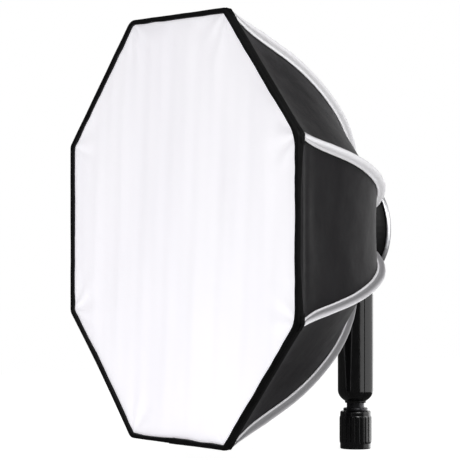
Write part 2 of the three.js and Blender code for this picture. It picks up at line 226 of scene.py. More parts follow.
# ---------------------------------------------------------------- node materials
class Mat:
    def __init__(self, name):
        self.m = bpy.data.materials.new(name)
        self.m.use_nodes = True
        self.t = self.m.node_tree
        self.t.nodes.clear()
        self.out = self.t.nodes.new("ShaderNodeOutputMaterial")
        self.b = self.t.nodes.new("ShaderNodeBsdfPrincipled")
        self.link(self.b.outputs[0], self.out.inputs[0])

    def link(self, a, b):
        self.t.links.new(a, b)

    def node(self, kind, **sets):
        n = self.t.nodes.new("ShaderNode" + kind)
        for k, v in sets.items():
            if k in n.inputs.keys():
                n.inputs[k].default_value = v
            else:
                setattr(n, k, v)
        return n

    def set(self, **kw):
        for k, v in kw.items():
            self.b.inputs[k.replace("_", " ")].default_value = v
        return self

    def coords(self, kind="Object"):
        return self.node("TexCoord").outputs[kind]

    def attr(self, name):
        return self.node("Attribute", attribute_name=name).outputs["Fac"]

    def math(self, op, a, b=None, clamp=False):
        n = self.node("Math", operation=op, use_clamp=clamp)
        for i, x in enumerate((a, b)):
            if x is None:
                continue
            if isinstance(x, (int, float)):
                n.inputs[i].default_value = x
            else:
                self.link(x, n.inputs[i])
        return n.outputs[0]

    def noise(self, scale, detail=3.0, rough=0.5, vec=None, stretch=None):
        n = self.node("TexNoise", Scale=scale, Detail=detail, Roughness=rough)
        v = vec if vec is not None else self.coords()
        if stretch is not None:
            mp = self.node("Mapping")
            mp.inputs["Scale"].default_value = stretch
            self.link(v, mp.inputs["Vector"])
            v = mp.outputs[0]
        self.link(v, n.inputs["Vector"])
        return n.outputs["Fac"]

    def ramp(self, fac, stops, interp="LINEAR"):
        n = self.node("ValToRGB")
        n.color_ramp.interpolation = interp
        e = n.color_ramp.elements
        while len(e) > 1:
            e.remove(e[-1])
        e[0].position, e[0].color = stops[0][0], (*stops[0][1], 1)
        for pos, col in stops[1:]:
            x = e.new(pos)
            x.color = (*col, 1)
        self.link(fac, n.inputs[0])
        return n.outputs[0]

    def mix(self, fac, a, b):
        n = self.node("Mix", data_type="RGBA")
        for sock, x in ((n.inputs[0], fac), (n.inputs[6], a), (n.inputs[7], b)):
            if isinstance(x, (int, float)):
                sock.default_value = x
            elif isinstance(x, tuple):
                sock.default_value = (*x, 1) if len(x) == 3 else x
            else:
                self.link(x, sock)
        return n.outputs[2]

    def bump(self, height, strength, distance, prev=None):
        n = self.node("Bump", Strength=strength, Distance=distance)
        self.link(height, n.inputs["Height"])
        if prev is not None:
            self.link(prev, n.inputs["Normal"])
        return n.outputs[0]

    def color(self, socket):
        self.link(socket, self.b.inputs["Base Color"])
        return self

    def rough(self, socket):
        self.link(socket, self.b.inputs["Roughness"])
        return self

    def normal(self, socket):
        self.link(socket, self.b.inputs["Normal"])
        return self


def uv_weave(m, pitch):
    """Height of a plain weave over the UV map, which is in metres."""
    sep = m.node("SeparateXYZ")
    m.link(m.coords("UV"), sep.inputs[0])
    u, v = sep.outputs[0], sep.outputs[1]
    k = 2 * math.pi / pitch
    a = m.math("SINE", m.math("MULTIPLY", u, k))
    b = m.math("SINE", m.math("MULTIPLY", v, k))
    return m.math("ADD", m.math("MULTIPLY", m.math("MULTIPLY", a, b), 0.5), 0.5)


def shell_material():
    m = Mat("shell_cloth")
    m.set(Specular_IOR_Level=0.16)
    big = m.noise(9, 4, 0.6)
    fine = m.noise(420, 2, 0.6)
    base = m.ramp(big, [(0.3, (0.0085, 0.0078, 0.0090)), (0.7, (0.0120, 0.0110, 0.0126))])
    base = m.mix(m.math("MULTIPLY", fine, 0.3), base, (0.020, 0.019, 0.021))
    # painted shading: the cloth is darkened near the rim and lightened towards the rear, after how the light falls on
    # the panels
    base = m.mix(m.math("MULTIPLY", m.attr("pull"), 0.85), m.mix(0.45, base, (0.004, 0.0038, 0.0042)), m.mix(0.45, base, (0.036, 0.034, 0.037)))
    # painted highlight: a lighter line along a crease across gore 1
    base = m.mix(m.math("MULTIPLY", m.attr("mark"), 0.5), base, (0.045, 0.045, 0.047))
    m.color(base)
    m.rough(m.math("ADD", m.math("MULTIPLY", m.noise(60, 3, 0.6), 0.16), 0.40))
    h = uv_weave(m, 0.0011)
    n1 = m.bump(h, 0.12, 0.0003)
    n2 = m.bump(m.noise(38, 4, 0.55), 0.12, 0.004, n1)
    m.normal(n2)
    return m.m


def lining_material():
    m = Mat("silver_lining")
    m.set(Metallic=0.55, Specular_IOR_Level=0.5)
    m.color(m.ramp(m.noise(30, 3), [(0.3, (0.55, 0.55, 0.57)), (0.7, (0.72, 0.72, 0.74))]))
    m.rough(m.math("ADD", m.math("MULTIPLY", m.noise(80, 2), 0.2), 0.35))
    m.normal(m.bump(uv_weave(m, 0.002), 0.4, 0.0005))
    return m.m


def binding_material():
    m = Mat("rim_binding_cloth")
    m.set(Specular_IOR_Level=0.15)
    base = m.ramp(m.noise(45, 4), [(0.3, (0.0018, 0.0018, 0.00192)), (0.75, (0.0042, 0.00408, 0.00432))])
    # the grey stripe from the line attribute is a painted highlight along the binding's rear outer edge
    m.color(m.mix(m.attr("line"), base, (0.066, 0.0642, 0.0672)))
    m.rough(m.math("ADD", m.math("MULTIPLY", m.noise(90, 2), 0.15), 0.5))
    n1 = m.bump(uv_weave(m, 0.0014), 0.25, 0.0004)
    m.normal(m.bump(m.noise(55, 3), 0.35, 0.003, n1))
    return m.m


def sleeve_material():
    m = Mat("rib_sleeve_cloth")
    m.set(Specular_IOR_Level=0.5, Sheen_Weight=0.1)
    # painted light and shade across each sleeve: one side lighter, the other darker, as the light falls
    tone = m.attr("tone")
    base = m.ramp(tone, [(0.0, (0.22, 0.215, 0.225)), (0.35, (0.50, 0.49, 0.51)), (0.7, (0.86, 0.85, 0.875)), (1.0, (0.96, 0.95, 0.97))])
    base = m.mix(m.math("MULTIPLY", m.noise(300, 2), 0.2), base, (0.5, 0.5, 0.52))
    m.color(base)
    m.rough(m.math("ADD", m.math("MULTIPLY", m.noise(120, 2), 0.18), 0.36))
    n1 = m.bump(uv_weave(m, 0.0012), 0.25, 0.0003)
    stitch = m.attr("stitch")
    n2 = m.bump(stitch, 0.6, 0.0006, n1)
    m.normal(n2)
    return m.m


def diffuser_material():
    m = Mat("diffuser_cloth")
    # the emission is painted light: the cloth glows though no lamp sits behind it
    m.set(Specular_IOR_Level=0.2, Emission_Strength=0.36)
    m.b.inputs["Emission Color"].default_value = (0.97, 0.955, 1.0, 1)
    base = m.ramp(m.noise(5, 3, 0.5, stretch=(1.0, 1.0, 0.35)), [(0.3, (0.80, 0.785, 0.83)), (0.7, (0.88, 0.87, 0.90))])
    m.color(base)
    m.rough(m.math("ADD", m.math("MULTIPLY", m.noise(40, 2), 0.1), 0.75))
    n1 = m.bump(uv_weave(m, 0.0012), 0.1, 0.0003)
    m.normal(n1)
    return m.m


def gloss_material(name, lo, hi, rough, wob=0.25, wob_scale=28, coat=0.5, fine=0.0):
    m = Mat(name)
    m.set(Specular_IOR_Level=0.5, Coat_Weight=coat, Coat_Roughness=0.06)
    m.color(m.ramp(m.noise(70, 4), [(0.3, lo), (0.75, hi)]))
    m.rough(m.math("ADD", m.math("MULTIPLY", m.noise(140, 3, 0.7), 0.14), rough))
    n1 = m.bump(m.noise(wob_scale, 2, 0.4), wob, 0.004)
    if fine:
        n1 = m.bump(m.noise(900, 2, 0.6), fine, 0.0002, n1)
    m.normal(n1)
    return m.m


def metal_material(name, lo, hi, rough, streak=(1, 1, 1)):
    m = Mat(name)
    m.set(Metallic=1.0)
    f = m.noise(160, 4, 0.6, stretch=streak)
    m.color(m.ramp(f, [(0.3, lo), (0.7, hi)]))
    m.rough(m.math("ADD", m.math("MULTIPLY", f, 0.2), rough))
    m.normal(m.bump(f, 0.15, 0.0004))
    return m.m


SHELL, LINING, BINDING = shell_material(), lining_material(), binding_material()
SLEEVE, DIFFUSER = sleeve_material(), diffuser_material()
GRIP = gloss_material("grip_gloss", (0.0015, 0.0015, 0.0016), (0.003, 0.003, 0.0032), 0.08, wob=0.10, wob_scale=38, coat=0.3)
KNOB = gloss_material("knob_gloss", (0.0015, 0.0015, 0.0016), (0.003, 0.003, 0.0033), 0.18, wob=0.04, fine=0.06, coat=0.2)
HUB = gloss_material("hub_black", (0.002, 0.002, 0.0022), (0.004, 0.004, 0.0043), 0.62, wob=0.05, fine=0.3, coat=0.0)
PLASTIC = gloss_material("joint_plastic", (0.010, 0.010, 0.011), (0.020, 0.020, 0.022), 0.40, wob=0.05, fine=0.4, coat=0.0)
DARK = metal_material("dark_alloy_metal", (0.05, 0.05, 0.055), (0.09, 0.09, 0.095), 0.28)
STEEL = metal_material("steel_metal", (0.45, 0.46, 0.48), (0.62, 0.63, 0.65), 0.22)
RIM = metal_material("hub_rim_metal", (0.60, 0.60, 0.62), (0.78, 0.78, 0.80), 0.38)


def paint(node, material, bevel=0.0, angle=35):
    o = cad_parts[node]
    o.data.materials.clear()
    o.data.materials.append(material)
    if bevel:
        b = o.modifiers.new("edge", "BEVEL")
        b.width, b.segments, b.limit_method, b.angle_limit = bevel * MM, 2, "ANGLE", math.radians(angle)
        b.harden_normals = False
    return o


# ---------------------------------------------------------------- shell profile
CREASE = np.array([
    [272.6, 3], [272.0, 6], [270.2, 10], [264.2, 17.5], [256.2, 28.4], [248.5, 40], [241.4, 52.4], [228.6, 77.6], [215.4, 103.4],
    [199.6, 129.8], [179.5, 157.8], [155.6, 185.2], [133, 205.4], [110, 220.6], [86.5, 231.2], [66.5, 236.9],
], float)


def catmull(points, per=40):
    p = np.concatenate([[2 * points[0] - points[1]], points, [2 * points[-1] - points[-2]]])
    out = []
    for i in range(1, len(p) - 2):
        p0, p1, p2, p3 = p[i - 1], p[i], p[i + 1], p[i + 2]
        t0 = 0.0
        t1 = t0 + np.linalg.norm(p1 - p0) ** 0.5
        t2 = t1 + np.linalg.norm(p2 - p1) ** 0.5
        t3 = t2 + np.linalg.norm(p3 - p2) ** 0.5
        t = np.linspace(t1, t2, per, endpoint=False)[:, None]
        a1 = (t1 - t) / (t1 - t0) * p0 + (t - t0) / (t1 - t0) * p1
        a2 = (t2 - t) / (t2 - t1) * p1 + (t - t1) / (t2 - t1) * p2
        a3 = (t3 - t) / (t3 - t2) * p2 + (t - t2) / (t3 - t2) * p3
        b1 = (t2 - t) / (t2 - t0) * a1 + (t - t0) / (t2 - t0) * a2
        b2 = (t3 - t) / (t3 - t1) * a2 + (t - t1) / (t3 - t1) * a3
        out.append((t2 - t) / (t2 - t1) * b1 + (t - t1) / (t2 - t1) * b2)
    out.append(points[-1:])
    return np.concatenate(out)


_dense = catmull(CREASE)
# a light smoothing takes the measured points' ripple out
for _ in range(60):
    _dense[1:-1] = 0.25 * _dense[:-2] + 0.5 * _dense[1:-1] + 0.25 * _dense[2:]
_arc = np.concatenate([[0], np.cumsum(np.linalg.norm(np.diff(_dense, axis=0), axis=1))])
LENGTH = _arc[-1]


def crease(s):
    """(radius, depth, outward normal) of the crease at arc length s, mm."""
    s = np.asarray(s, float)
    r = np.interp(s, _arc, _dense[:, 0])
    w = np.interp(s, _arc, _dense[:, 1])
    e = 2.0
    dr = np.interp(np.minimum(s + e, LENGTH), _arc, _dense[:, 0]) - np.interp(np.maximum(s - e, 0), _arc, _dense[:, 0])
    dw = np.interp(np.minimum(s + e, LENGTH), _arc, _dense[:, 1]) - np.interp(np.maximum(s - e, 0), _arc, _dense[:, 1])
    q = np.hypot(dr, dw)
    return r, w, dw / q, -dr / q


def arc_at_depth(w):
    return float(np.interp(w, _dense[:, 1], _arc))


SAG = 3.2


def rim_bow(x, z):
    """How far the rim's outline is pulled in at a point, mm: the lower left side sags a little."""
    a = np.arctan2(z - AX, x)
    da = np.angle(np.exp(1j * (a - math.radians(225))))
    return 2.4 * np.clip(np.cos(da / HALF * math.pi / 2), 0, 1) * (np.abs(da) < HALF)


# stations along the shell: fine near the rim, where the hem is
STATIONS = np.concatenate([np.arange(0, 26, 1.0), np.arange(26, 60, 2.5), np.arange(60, LENGTH - 1, 4.0), [LENGTH]])
ACROSS = 40


def gore(g):
    """One gore between rib g and rib g+1: grids of points, normals, uv, a painted highlight line along a crease (gore 1
    only) and a painted shading ramp (darker at the rim, lighter towards the rear). Columns run from rib g to rib g+1.
    """
    s = STATIONS[:, None]
    sig = np.linspace(-1, 1, ACROSS + 1)[None, :]
    # columns crowd towards the creases
    sig = np.sign(sig) * (np.abs(sig) ** 0.85)
    r0, w0, nr, nw = crease(s)
    a = (phi(g) + HALF)  # azimuth of the gore's middle
    chord = r0 * SIN
    t = sig * chord
    rad = r0 * COS
    bulge = SAG * np.sin(math.pi * np.clip((w0 - 14) / 224, 0, 1)) ** 0.8 * np.cos(math.pi / 2 * sig)
    # soft tension folds, strongest at the front and between the ribs
    flat = np.stack([rad * math.cos(a) - t * math.sin(a), FY + w0 + 0 * t, rad * math.sin(a) + t * math.cos(a)], -1)
    mask = np.cos(math.pi / 2 * sig) ** 0.6
    d = -bulge
    d = d + 0.5 * wave_noise(flat * np.array([1, 1.0, 1]), 105, 11 + g, 2) * mask * smooth(w0, 12, 40)
    # the cloth pulls in a little behind the binding
    ws = w0 - 9 + 3.2
    d = d - 1.2 * np.exp(-((w0 - 20) / 6.0) ** 2) * mask * smooth(w0, 9, 16)
    rr = rad + d * nr * 1.0
    P = to_world(rr, w0 + d * nw * COS + 0 * t, t, a)
    N = grid_normals(P)
    ref = np.stack([nr * math.cos(a) + 0 * t, nw + 0 * t, nr * math.sin(a) + 0 * t], -1)
    if (N * ref).sum() < 0:
        N = -N
    uv = np.stack([t * MM + 0 * s, s * MM + 0 * t], -1)
    # painted highlight: a thin lighter line where a crease across gore 1 catches the light, fading in from 30 mm and
    # out by 150 mm behind the rim
    crease_highlight_line = np.exp(-(((w0 - 18) * 0.42 + 10 - t) / 1.0) ** 2) * smooth(w0, 30, 60) * (1 - smooth(w0, 120, 150)) if g == 1 else 0 * t * s
    # painted shading ramp: 0 at the rim, rising towards the rear; it darkens the cloth near the rim and lightens it at
    # the back
    stretch = 0.35 * smooth(w0, 10, 60) + 0.65 * smooth(w0, 120, 225) + 0 * t
    return P, N, uv, crease_highlight_line + 0 * t, stretch


_ends = [0] + [arc_at_depth(w) for w in (40, 80, 120, 160, 200)] + [LENGTH]
BANDS = list(zip(_ends[:-1], _ends[1:]))
# the station rows where each band begins and ends
snap = lambda v: int(np.argmin(np.abs(STATIONS - v)))
CUTS = [(snap(a), snap(b)) for a, b in BANDS]

gores = {g: gore(g) for g in RIBS}
half = ACROSS // 2


shell_pieces = []
for k in RIBS:
    before, after = gores[(k - 2) % 8 + 1], gores[k]
    for b, (i0, i1) in enumerate(CUTS):
        part = Parts()
        for src, cols in ((after, slice(0, half + 1)), (before, slice(half, ACROSS + 1))):
            P, N, uv, mark, pull = src
            rows = slice(i0, i1 + 1)
            part.sheet(P[rows, cols], N[rows, cols], 0.9, (0, 1), uv[rows, cols], {"mark": mark[rows, cols], "pull": pull[rows, cols]})
        o = part.make(f"shell_cloth_{k}_{b + 1}", [SHELL, LINING])
        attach(o, f"rib_{k}")
        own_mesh(o)
        if b == 0:
            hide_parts(f"shell_panel_{k}")
        area = 0.0
        me = o.data
        mid = part  # the outer faces' area is the cloth's
        area = sum(p.area for p in me.polygons) / 2
        w_flat = 2 * float(crease(STATIONS[i0])[0]) * SIN * MM * 1.06
        l_flat = float(STATIONS[i1] - STATIONS[i0]) * MM * 1.06
        shell_pieces.append((o, w_flat, l_flat, area))
for o, w_flat, l_flat, area in shell_pieces:
    share = area / (w_flat * l_flat)
    min(area, w_flat * l_flat)


# ---------------------------------------------------------------- rim binding
OUT_FILLET = {1: 10, 2: 11, 3: 22, 4: 9, 5: 11, 6: 16, 7: 11, 8: 10}
IN_FILLET = {1: 40, 2: 5, 3: 14, 4: 5, 5: 5, 6: 6, 7: 5, 8: 40}


def chevron(apothem, rc, ang):
    """Where rays at angles ang from the rib meet the rim line with a rounded corner."""
    corner = apothem / COS
    tc = rc * SIN / COS  # tangent length from the corner
    out = np.zeros((len(ang), 2))
    cx = corner - rc / COS
    for i, q in enumerate(ang):
        if rc <= 0 or abs(math.tan(q)) * (corner - tc * SIN) > tc * COS:
            rho = apothem / math.cos(HALF - abs(q))
        else:
            # meet the fillet circle centred at (cx, 0)
            rho = cx * math.cos(q) + math.sqrt(max(rc * rc - (cx * math.sin(q)) ** 2, 0))
        out[i] = rho * math.cos(q), rho * math.sin(q)
    return out


def side_depth(x, z):
    """How deep the binding is along its outer side, mm."""
    a = np.arctan2(z - AX, x)
    right = np.clip(1 - np.abs(a) / (HALF * 1.15), 0, 1)
    return 11.3 - 4.6 * smooth(right, 0, 0.75)


# rounded section, as (0 outside .. 1 inside, 0 front .. 1 rear)
def section(n=6):
    pts = []
    fx, fy = 0.34, 0.17
    corners = ((0, 0, 180), (1, 0, 270), (1, 1, 0), (0, 1, 90))
    for cx, cy, a0 in corners:
        rx, ry = (fx, fy) if (cx, cy) != (0, 1) else (0.16, 0.09)
        ox, oy = (rx if cx == 0 else 1 - rx), (ry if cy == 0 else 1 - ry)
        for j in range(n + 1):
            q = math.radians(a0 + 90 * j / n)
            pts.append((ox + rx * math.cos(q), oy + ry * math.sin(q)))
        if (cx, cy) == (1, 0):
            pts += [(1, 0.35), (1, 0.5), (1, 0.65)]
        if (cx, cy) == (1, 1):
            pts += [(0.7, 1), (0.45, 1)]
        if (cx, cy) == (0, 1):
            pts += [(0, y) for y in (0.86, 0.78, 0.70, 0.62, 0.54, 0.46, 0.38, 0.30)]
    return np.array(pts)


SEC = section()


def binding(k):
    a = phi(k)
    ang = np.linspace(-1, 1, 121)
    ang = np.sign(ang) * np.abs(ang) ** 1.5 * HALF
    outer, inner = chevron(R + 0.4, OUT_FILLET[k], ang), chevron(R - BIND_T + 0.2, IN_FILLET[k], ang)
    f, g = SEC[:, 0][None, :], SEC[:, 1][None, :]
    r = outer[:, :1] * (1 - f) + inner[:, :1] * f
    t = outer[:, 1:] * (1 - f) + inner[:, 1:] * f
    flat = to_world(r, 0 * r, t, a)
    depth = side_depth(flat[..., 0], flat[..., 2])
    W = g * depth
    # the rear part of the outer side leans in a little
    lean = 1.3 * smooth(g, 0.35, 1.0) * (1 - f)
    P = to_world(r, W, t, a)
    n = wave_noise(P, 70, 5, 3)
    n2 = wave_noise(P, 46, 9, 2)
    radial = P - np.array([0, 0, AX])
    radial[..., 1] = 0
    radial /= np.linalg.norm(radial, axis=-1, keepdims=True)
    x, z = P[..., 0], P[..., 2]
    bow = rim_bow(x, z)
    # the tape's two ends overlap in a slanted join on the bottom edge, and it is pulled thin beside it
    bottom = (z < 40)
    step = smooth(x + 16.5 - 0.9 * f * BIND_T, 0.0, 1.2) * (1 - smooth(x, 8, 60)) * bottom
    thin = np.exp(-((x + 55) / 30) ** 2) * bottom
    P = P - radial * (bow + lean)[..., None] + radial * (0.22 * n - 0.45 * n2 * f + 1.3 * thin * -f * -1 * 0)[..., None]
    P = P + radial * (-1.0 * -1.0 * 1.2 * thin * f * 1.0)[..., None] + radial * (0.55 * step * (1 - 2 * f))[..., None]
    P[..., 1] += (0.3 * n) * (g < 0.5) - 0.5 * step * (g < 0.5) * np.clip(1 - np.abs(g - 0.0) * 2, 0, 1)
    Q = np.concatenate([P[:, -1:], P, P[:, :1]], 1)
    N = grid_normals(Q)[:, 1:-1]
    mid = P.mean(1, keepdims=True)
    if ((P - mid) * N).sum() < 0:
        N = -N
    # painted highlight: a grey stripe along the rear outer edge of the binding where its ridge catches the light,
    # weaker near the rib corners
    line = np.exp(-((g - 0.955) / 0.06) ** 2) * np.exp(-((f - 0.02) / 0.12) ** 2) * (1 - 0.8 * np.exp(-(t / 16) ** 2)) + 0 * r
    return P, N, t, line, f + 0 * r


bindings = {k: binding(k) for k in RIBS}
for k in RIBS:
    # neighbouring pieces meet at mid-edge on exactly the same ring
    P, N = bindings[k][0], bindings[k][1]
    Pn, Nn = bindings[k % 8 + 1][0], bindings[k % 8 + 1][1]
    m = (P[-1] + Pn[0]) / 2
    nn = N[-1] + Nn[0]
    nn /= np.linalg.norm(nn, axis=-1, keepdims=True)
    P[-1] = Pn[0] = m
    N[-1] = Nn[0] = nn
for k in RIBS:
    P, N, t, line, f = bindings[k]
    n, m = P.shape[:2]
    idx = np.arange(n * m).reshape(n, m)
    nxt = np.roll(idx, -1, axis=1)
    quads = np.stack([idx[:-1].ravel(), idx[1:].ravel(), nxt[1:].ravel(), nxt[:-1].ravel()], 1)
    flat, nf = P.reshape(-1, 3), N.reshape(-1, 3)
    g = np.cross(flat[quads[:, 1]] - flat[quads[:, 0]], flat[quads[:, 3]] - flat[quads[:, 0]])
    if (g * nf[quads[:, 0]]).sum() < 0:
        quads = quads[:, ::-1]
    faces = quads.tolist()
    normals = [[nf[i] for i in q] for q in quads]
    for row in (0, n - 1):
        ring = idx[row].tolist()
        out = P[row].mean(0) - P[1 if row == 0 else n - 2].mean(0)
        fn = np.cross(P[row][1] - P[row][0], P[row][9] - P[row][0])
        if fn @ out < 0:
            ring = ring[::-1]
        faces.append(ring)
        normals.append([out / np.linalg.norm(out)] * m)
    part = Parts()
    per = np.concatenate([[0], np.cumsum(np.linalg.norm(np.diff(P[n // 4], axis=0), axis=1))])
    uv = np.stack(np.broadcast_arrays(t * MM, per[None, :] * MM), -1)
    part.add(flat, faces, normals, 0, uv, {"line": line})
    o = part.make(f"rim_binding_{k}", [BINDING])
    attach(o, f"rib_{k}")
    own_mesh(o)


# ---------------------------------------------------------------- rib sleeves and corner pockets
def sleeve_top(w):
    return np.interp(w, [11, 16, 26, 36, 47.5, 62], [3.0, 4.2, 6.4, 8.2, 9.6, 10.5])


SECTION = np.array([
    (0.55, 0.0), (0.50, 2.2), (0.55, 4.0), (0.95, 4.3), (1.35, 4.1), (1.75, 3.5), (2.5, 2.95), (3.8, 2.95), (5.2, 3.2), (6.8, 3.35),
    (8.3, 3.2), (9.6, 2.6), (10.6, 1.7), (11.2, 0.8), (11.4, 0.0),
])
SECTION = np.concatenate([SECTION, SECTION[1:-1][::-1] * np.array([1, -1])])


def sleeve_shading_of(n, t):
    """Painted light and shade around the sleeve's section: the side at t < 0 is painted light and the side at t > 0
    dark, as the light falls on it; the stitched flanges are lightest, the one at t > 0 a little darker, and the fold
    along the top is a little lighter.
    """
    u = t / 3.4
    flange = (n < 2.1) * 1.0
    edge = np.where(t < 0, 1.0, 0.72)
    side = 0.50 - 0.48 * u + 0.12 * smooth(n, 8.4, 11.0)
    return np.clip(flange * edge + (1 - flange) * side, 0, 1)


for k in RIBS:
    s = np.concatenate([np.arange(arc_at_depth(11.5), LENGTH - 9, 2.6), [LENGTH - 9]])
    r, w, nr, nw = crease(s)
    top = sleeve_top(w)
    n0, t0 = SECTION[:, 0][None, :], SECTION[:, 1][None, :]
    scale = (top / 11.4)[:, None]
    nn = np.where(n0 > 2.0, 2.0 + (n0 - 2.0) * (top[:, None] - 2.0) / 9.4, n0)
    a = phi(k)
    base = to_world(r[:, None] + nr[:, None] * nn, w[:, None] + nw[:, None] * nn, t0 + 0 * nn, a)
    soft = 1 + 0.05 * wave_noise(base, 40, 21 + k, 2)
    tt = t0 * soft
    # the flanges lie on the two gores, which fall away from the crease
    drop = np.where(n0 < 2.2, np.abs(tt) * TAN * (0.9 - 0.0 * n0) * (2.2 - n0) / 2.2, 0)
    nn = nn - drop + 0.12 * wave_noise(base, 26, 31 + k, 2) * (n0 > 3)
    P = to_world(r[:, None] + nr[:, None] * nn, w[:, None] + nw[:, None] * nn, tt, a)
    # painted light and shade around the section, the same along the whole sleeve
    tone = np.broadcast_to(sleeve_shading_of(n0, t0), nn.shape)
    st = (np.sin(s / 3.2 * 2 * math.pi) > -0.2)[:, None] * np.exp(-((n0 - 1.35) / 0.4) ** 2)
    per = np.concatenate([[0], np.cumsum(np.linalg.norm(np.diff(SECTION, axis=0), axis=1))])
    uv = np.stack(np.broadcast_arrays(per[None, :] * MM, s[:, None] * MM), -1)
    part = Parts()
    part.tube(P, 0, True, uv.reshape(-1, 2), {"tone": tone, "stitch": st})
    o = part.make(f"rib_sleeve_cloth_{k}", [SLEEVE])
    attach(o, f"rib_{k}")
    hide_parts(f"rib_sleeve_{k}")

    # the spring rod inside the sleeve, out to its knuckle
    rs = np.concatenate([np.arange(arc_at_depth(17.5), LENGTH - 1, 3.0), [LENGTH]])
    r, w, nr, nw = crease(rs)
    off = np.minimum(5.6, 0.50 * sleeve_top(w) + 0.25)
    off = off + (5.6 - off) * smooth(rs, LENGTH - 22, LENGTH - 4)
    mid_line = np.stack([r + nr * off, w + nw * off], 1)
    pivot, root = np.array([54.5, 245.9]), mid_line[-1]
    run = (root - pivot) / np.linalg.norm(root - pivot)
    mid_line = np.concatenate([mid_line[:-1], [pivot + run * (np.linalg.norm(root - pivot) - 2.5), pivot + run * 6.6]])
    along = np.gradient(mid_line, axis=0)
    along /= np.linalg.norm(along, axis=1)[:, None]
    side_n = np.stack([along[:, 1], -along[:, 0]], 1)
    rad = np.interp(np.arange(len(mid_line)), [0, 1, 3, len(mid_line)], [0.7, 1.3, 1.5, 1.95])
    rad = np.where(np.arange(len(mid_line)) > len(mid_line) - 12, 1.95, rad)
    q = np.linspace(0, 2 * math.pi, 16, endpoint=False)
    rr = mid_line[:, :1] + side_n[:, :1] * rad[:, None] * np.cos(q)
    rw = mid_line[:, 1:] + side_n[:, 1:] * rad[:, None] * np.cos(q)
    part = Parts()
    part.tube(to_world(rr, rw, rad[:, None] * np.sin(q), a))
    o = part.make(f"rib_spring_rod_{k}", [STEEL])
    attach(o, f"rib_{k}")
    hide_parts(f"rib_rod_{k}")

    # black pocket over the rib's tip: a tab that wraps the corner from the binding to the sleeve
    wc = {1: 12.6, 8: 12.6}.get(k, 16.6)
    tw = np.linspace(-9.5, 9.5, 39)[None, :]
    u = np.linspace(0, 1, 30)[:, None]
    end = wc + 0.42 * np.abs(tw) - 2.2 * smooth(np.abs(tw), 6.5, 9.5)
    w = 5.0 + (end - 5.0) * u
    deep = side_depth(R * math.cos(a) * 1.0, AX + R * math.sin(a))
    band = (R + 0.4) / COS - 1.3 / COS * smooth(w / deep, 0.35, 1.0)
    shellr = np.interp(w, _dense[:, 1], _dense[:, 0])
    level = band + (shellr - band) * smooth(w, deep - 1.0, deep + 3.0)
    crest = np.interp(w, [0, 6, 12, 18, 26], [273.4, 272.4, 270.6, 268.2, 264.6])
    ridge = level + np.maximum(crest - level, 0) * np.exp(-(np.abs(tw) / 4.6) ** 2.6)
    # the binding's corner is rounded, and so is the tab where it lies on it
    fil = OUT_FILLET[k]
    round_off = np.maximum(0, (fil / COS - fil) * np.clip(1 - np.abs(tw) / (fil * TAN + 4), 0, 1) ** 2) * (1 - smooth(w, 6, 12))
    rr = ridge - np.abs(tw) * TAN * np.clip(np.abs(tw) / 2.2, 0, 1) - round_off + 0.25
    P = to_world(rr, w, tw + 0 * w, a)
    P = P + 0.18 * wave_noise(P, 14, 41 + k, 2)[..., None] * np.array([math.cos(a), 0.2, math.sin(a)])
    N = grid_normals(P)
    if (N @ np.array([math.cos(a), 0, math.sin(a)])).sum() < 0:
        N = -N
    part = Parts()
    part.sheet(P, N, 0.7, (0, 0), np.stack([tw * MM + 0 * w, w * MM], -1))
    o = part.make(f"corner_pocket_{k}", [BINDING])
    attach(o, f"rib_{k}")


# ---------------------------------------------------------------- diffuser
def relief(x, z):
    """How far the diffuser stands back from its plane, mm."""
    p = np.stack([x / 1.0, 0 * x, (z - AX) / 4.5], -1)
    rho = np.hypot(x, z - AX)
    a = np.arctan2(z - AX, x)
    inner = smooth(R * 0.985 - np.abs(rho * np.cos(np.mod(a + HALF, 2 * HALF) - HALF)), 0, 26)
    d = 1.5 * wave_noise(p, 62, 71, 2) * inner
    # puckers that run from each corner towards the middle
    for k in RIBS:
        a0 = phi(k)
        cx, cz = R / COS * math.cos(a0), AX + R / COS * math.sin(a0)
        dx, dz = x - cx, z - cz
        dist = np.hypot(dx, dz)
        ang = np.angle(np.exp(1j * (np.arctan2(dz, dx) - a0 - math.pi)))
        amp = 1.0 * np.exp(-((dist - 34) / 30) ** 2)
        d = d + amp * np.sin(ang * 9 + k * 1.7) * np.exp(-(ang / 0.9) ** 2)
    return d


